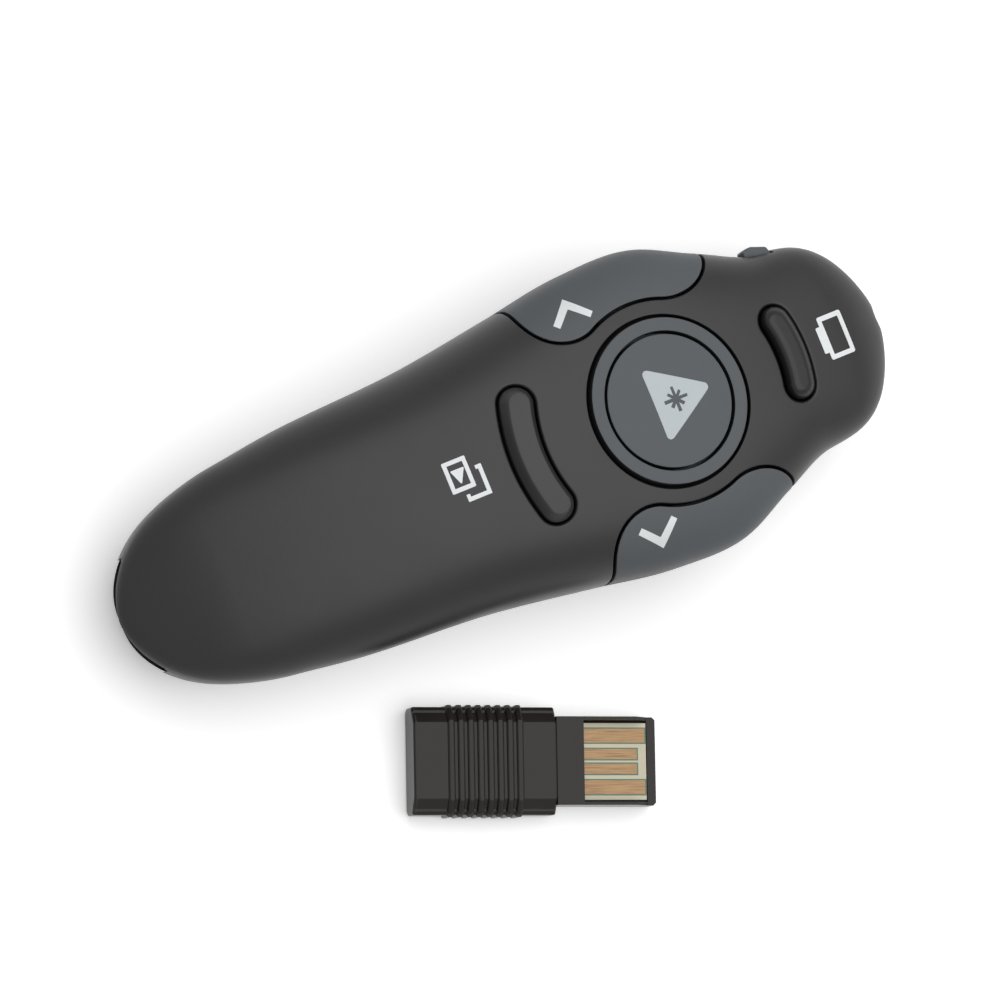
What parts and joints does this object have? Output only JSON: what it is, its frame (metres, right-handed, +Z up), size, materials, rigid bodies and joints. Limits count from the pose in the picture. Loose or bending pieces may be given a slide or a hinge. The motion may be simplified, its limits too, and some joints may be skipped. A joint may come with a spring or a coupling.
{
  "type": "wireless presentation clicker",
  "caption": "Handheld wireless presenter with a ringed laser button, two page buttons, bar keys, a side power slider, a sliding battery door and a loose USB receiver.",
  "frame": {"origin": "on the flat underside, straight below the centre of the laser ring", "axes": "+X along the body to the nose, +Y to the left of the nose, +Z up out of the keys"},
  "size_m": [0.114, 0.0715, 0.027],
  "materials": {
    "body": "soft-touch charcoal plastic",
    "keys": "satin grey plastic",
    "receiver": "glossy smoky black plastic",
    "board": "green circuit board",
    "contact_board": "cream circuit board",
    "gold": "gold-plated contact",
    "component": "black moulded component",
    "steel": "plated steel",
    "cell": "satin battery can",
    "barrel": "turned brass",
    "window": "dark red laser window"
  },
  "bodies": {
    "root": {"top_cover": "body", "bottom_cover": "body", "trim_ring": "keys", "slide_switch": "steel", "main_board": "board", "push_switches": "component", "board_chips": "component", "laser_barrel": "barrel", "laser_window": "window", "battery_left": "cell", "battery_right": "cell", "contact_springs": "steel", "contact_plates": "steel", "case_screws": "steel"},
    "laser_button": {"laser_button": "keys"},
    "page_back_button": {"page_back_button": "keys"},
    "page_forward_button": {"page_forward_button": "keys"},
    "play_key": {"play_key": "body"},
    "blank_key": {"blank_key": "body"},
    "power_slider": {"power_slider": "keys"},
    "battery_door": {"battery_door": "body"},
    "receiver": {"receiver_top": "receiver", "receiver_bottom": "receiver", "receiver_plug": "receiver", "receiver_board": "contact_board", "receiver_pads": "gold", "receiver_chip": "component"}
  },
  "joints": [
    {"name": "laser_press", "type": "slide", "parent": "root", "child": "laser_button", "axis": [-0.1253, 0, -0.9921], "range_m": [0, 0.0005], "stiffness_N_per_m": 3000},
    {"name": "page_back_press", "type": "slide", "parent": "root", "child": "page_back_button", "axis": [0, 0, -1], "range_m": [0, 0.0005], "stiffness_N_per_m": 3000},
    {"name": "page_forward_press", "type": "slide", "parent": "root", "child": "page_forward_button", "axis": [0, 0, -1], "range_m": [0, 0.0005], "stiffness_N_per_m": 3000},
    {"name": "play_press", "type": "slide", "parent": "root", "child": "play_key", "axis": [0, 0, -1], "range_m": [0, 0.0005], "stiffness_N_per_m": 3000},
    {"name": "blank_press", "type": "slide", "parent": "root", "child": "blank_key", "axis": [0, 0, -1], "range_m": [0, 0.0005], "stiffness_N_per_m": 3000},
    {"name": "power_slide", "type": "slide", "parent": "root", "child": "power_slider", "axis": [-1, 0, 0], "range_m": [0, 0.0025]},
    {"name": "door_slide", "type": "slide", "parent": "root", "child": "battery_door", "axis": [-1, 0, 0], "range_m": [0, 0.048]},
    {"name": "receiver_lift", "type": "slide", "parent": "root", "child": "receiver", "axis": [0, 0, 1], "range_m": [0, 0.04]}
  ]
}
